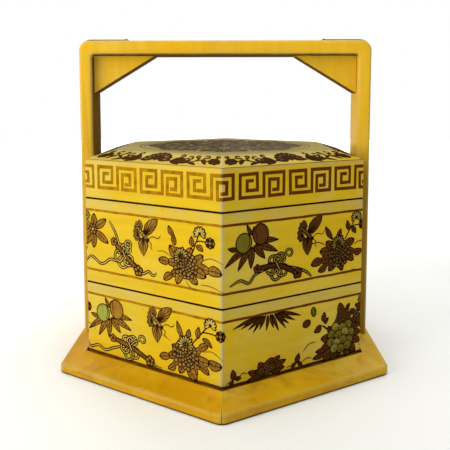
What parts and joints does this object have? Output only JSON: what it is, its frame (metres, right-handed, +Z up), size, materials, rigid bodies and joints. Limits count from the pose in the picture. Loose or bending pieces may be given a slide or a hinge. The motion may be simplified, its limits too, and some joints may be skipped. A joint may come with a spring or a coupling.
{
  "type": "stacking food carrier",
  "caption": "Hexagonal lacquered wooden stacking food box: trays and lid lift out of a plinth with a fixed carrying frame.",
  "frame": {"origin": "centre of the base's underside", "axes": "+Z up; the carrying frame spans X; a corner of the hexagon faces -Y, the front"},
  "size_m": [0.308, 0.3526, 0.3189],
  "materials": {
    "yellow_lacquer": "aged gloss lacquer, painted",
    "inside_lacquer": "dark red-brown lacquer",
    "strap_metal": "dull, tarnished",
    "nail_metal": "tarnished"
  },
  "bodies": {
    "carrier_frame": {"base_floor": "inside_lacquer", "base_rail_right": "yellow_lacquer", "base_rail_back_right": "yellow_lacquer", "base_rail_back_left": "yellow_lacquer", "base_rail_left": "yellow_lacquer", "base_rail_front_left": "yellow_lacquer", "base_rail_front_right": "yellow_lacquer", "post_left": "yellow_lacquer", "post_right": "yellow_lacquer", "crossbar": "yellow_lacquer", "gusset_left": "yellow_lacquer", "gusset_right": "yellow_lacquer", "strap_left": "strap_metal", "strap_right": "strap_metal", "nail_top_left": "nail_metal", "nail_top_right": "nail_metal", "nail_side_left": "nail_metal", "nail_side_right": "nail_metal"},
    "lower_tray": {"lower_tray_wall_right": "yellow_lacquer", "lower_tray_wall_back_right": "yellow_lacquer", "lower_tray_wall_back_left": "yellow_lacquer", "lower_tray_wall_left": "yellow_lacquer", "lower_tray_wall_front_left": "yellow_lacquer", "lower_tray_wall_front_right": "yellow_lacquer", "lower_tray_floor": "inside_lacquer", "lower_tray_lip_right": "inside_lacquer", "lower_tray_lip_back_right": "inside_lacquer", "lower_tray_lip_back_left": "inside_lacquer", "lower_tray_lip_left": "inside_lacquer", "lower_tray_lip_front_left": "inside_lacquer", "lower_tray_lip_front_right": "inside_lacquer"},
    "upper_tray": {"upper_tray_wall_right": "yellow_lacquer", "upper_tray_wall_back_right": "yellow_lacquer", "upper_tray_wall_back_left": "yellow_lacquer", "upper_tray_wall_left": "yellow_lacquer", "upper_tray_wall_front_left": "yellow_lacquer", "upper_tray_wall_front_right": "yellow_lacquer", "upper_tray_floor": "inside_lacquer", "upper_tray_lip_right": "inside_lacquer", "upper_tray_lip_back_right": "inside_lacquer", "upper_tray_lip_back_left": "inside_lacquer", "upper_tray_lip_left": "inside_lacquer", "upper_tray_lip_front_left": "inside_lacquer", "upper_tray_lip_front_right": "inside_lacquer"},
    "lid": {"lid_rim_right": "yellow_lacquer", "lid_rim_back_right": "yellow_lacquer", "lid_rim_back_left": "yellow_lacquer", "lid_rim_left": "yellow_lacquer", "lid_rim_front_left": "yellow_lacquer", "lid_rim_front_right": "yellow_lacquer", "lid_shoulder_right": "yellow_lacquer", "lid_shoulder_back_right": "yellow_lacquer", "lid_shoulder_back_left": "yellow_lacquer", "lid_shoulder_left": "yellow_lacquer", "lid_shoulder_front_left": "yellow_lacquer", "lid_shoulder_front_right": "yellow_lacquer", "lid_panel": "yellow_lacquer"}
  },
  "joints": [
    {"name": "lower_tray_lift", "type": "slide", "parent": "carrier_frame", "child": "lower_tray", "axis": [0, 0, 1], "range_m": [0, 0.016]},
    {"name": "upper_tray_lift", "type": "slide", "parent": "lower_tray", "child": "upper_tray", "axis": [0, 0, 1], "range_m": [0, 0.015]},
    {"name": "lid_lift", "type": "slide", "parent": "upper_tray", "child": "lid", "axis": [0, 0, 1], "range_m": [0, 0.03]}
  ]
}
